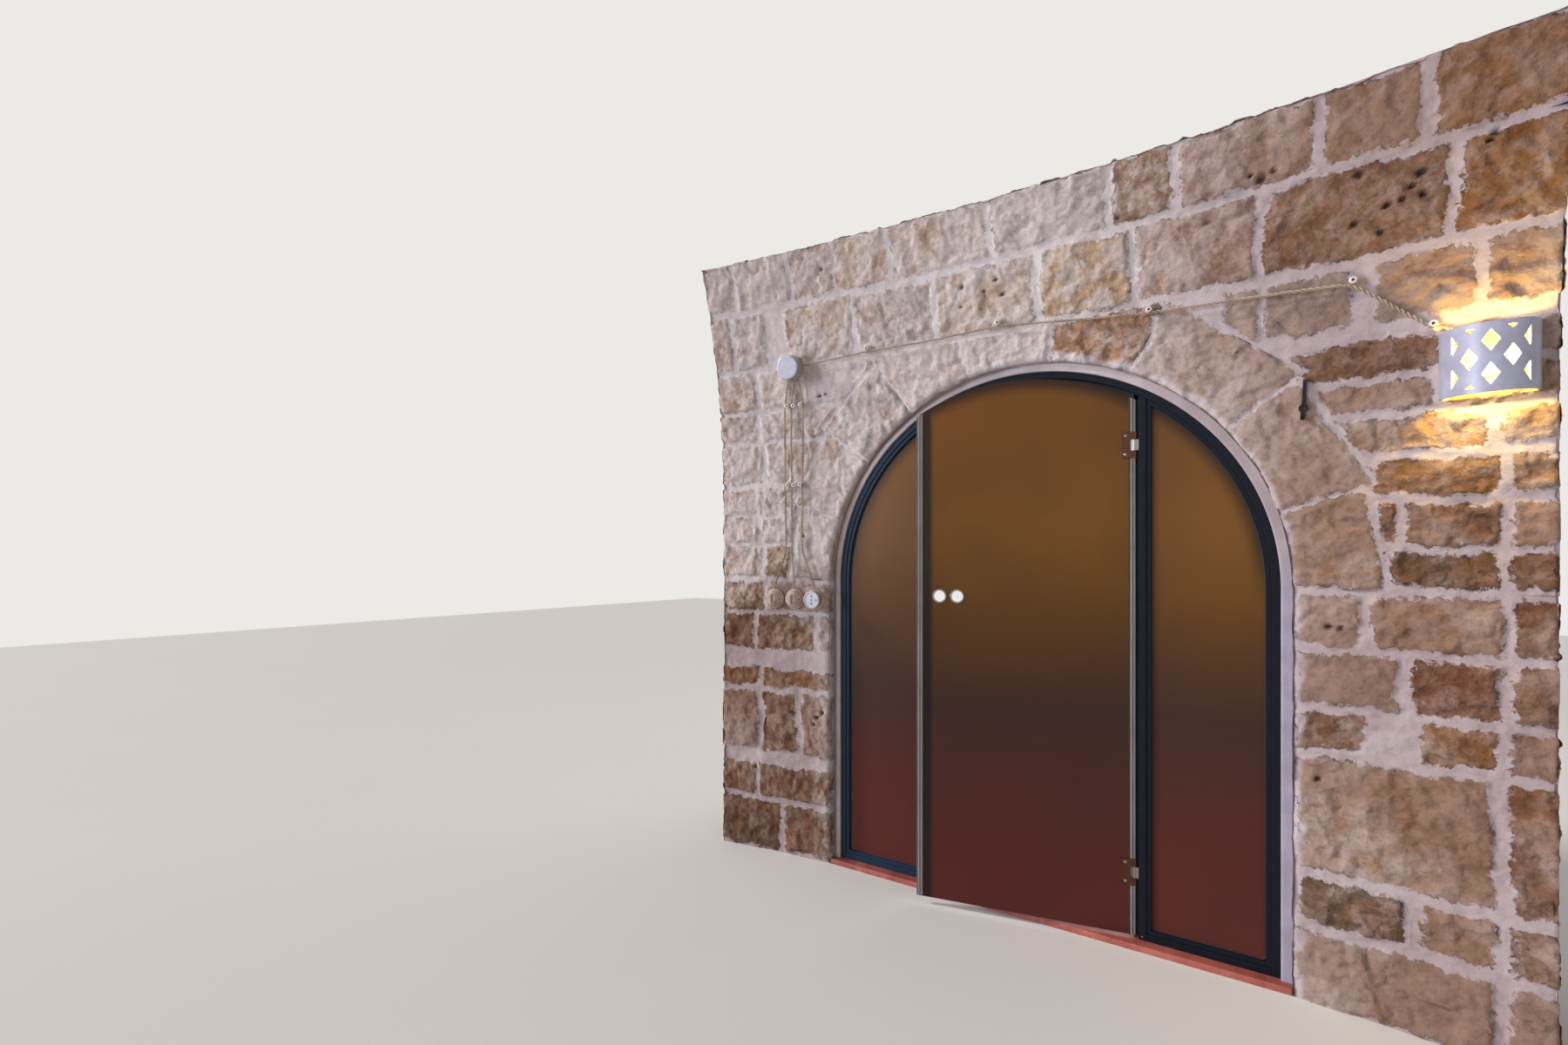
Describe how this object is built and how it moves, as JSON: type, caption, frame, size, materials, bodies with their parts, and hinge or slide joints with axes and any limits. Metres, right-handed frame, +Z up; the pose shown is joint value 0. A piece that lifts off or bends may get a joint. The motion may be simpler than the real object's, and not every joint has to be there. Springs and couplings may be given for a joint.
{
  "type": "arched glazed doorway in a bay of trullo wall",
  "caption": "Round-arched doorway through a thick limestone trullo wall, with a steel and frosted glass screen, a hinged glass leaf and a pierced ceramic lamp.",
  "frame": {"origin": "middle of the doorway on the level bed that the wall stands on, in the front plane of the steel frame", "axes": "+X along the wall to the right seen from the room, +Y through the wall away from the room, +Z up"},
  "size_m": [2.6, 0.8625, 2.52],
  "materials": {
    "limestone": "rough hewn",
    "lime_plaster": "trowelled lime",
    "burnished_cement": "burnished",
    "painted_steel": "powder coated, satin",
    "frosted_glass": "bronze tinted, satin etched",
    "clear_seal": "clear, ribbed",
    "chrome_fittings": "polished",
    "porcelain": "glazed",
    "forged_iron": "forged, waxed",
    "glazed_clay": "glazed",
    "lamp_glass": "opal",
    "cloth_cable": "woven sleeve"
  },
  "bodies": {
    "root": {"threshold": "burnished_cement", "left_pier": "limestone", "right_pier": "limestone", "left_spandrel": "limestone", "right_spandrel": "limestone", "lower_course_over_arch": "limestone", "upper_course_over_arch": "limestone", "arch_stone_1": "limestone", "arch_stone_2": "limestone", "arch_stone_3": "limestone", "arch_stone_4": "limestone", "arch_stone_5": "limestone", "arch_stone_6": "limestone", "arch_stone_7": "limestone", "arch_stone_8": "limestone", "arch_stone_9": "limestone", "lime_lining": "lime_plaster", "left_outer_stile": "painted_steel", "right_outer_stile": "painted_steel", "door_head": "painted_steel", "left_mullion": "painted_steel", "right_mullion": "painted_steel", "left_bottom_rail": "painted_steel", "right_bottom_rail": "painted_steel", "left_light_beads": "painted_steel", "right_light_beads": "painted_steel", "left_light_glass": "frosted_glass", "right_light_glass": "frosted_glass", "lower_hinge_bracket": "chrome_fittings", "upper_hinge_bracket": "chrome_fittings", "junction_box": "porcelain", "rotary_switch_left": "porcelain", "rotary_switch_right": "porcelain", "socket_outlet": "porcelain", "coat_hook": "forged_iron", "sconce_shade": "glazed_clay", "sconce_lamp": "lamp_glass", "wall_cables": "cloth_cable", "insulators": "porcelain"},
    "leaf": {"door_glass": "frosted_glass", "strike_seal": "clear_seal", "hinge_side_seal": "clear_seal", "lower_hinge_clamp": "chrome_fittings", "upper_hinge_clamp": "chrome_fittings", "finger_rings": "chrome_fittings"}
  },
  "joints": [
    {"name": "leaf_hinge", "type": "hinge", "parent": "root", "child": "leaf", "pos_m": [0.355, 0.01, 0.6], "axis": [0, 0, 1], "range_deg": [-12, 78]}
  ]
}
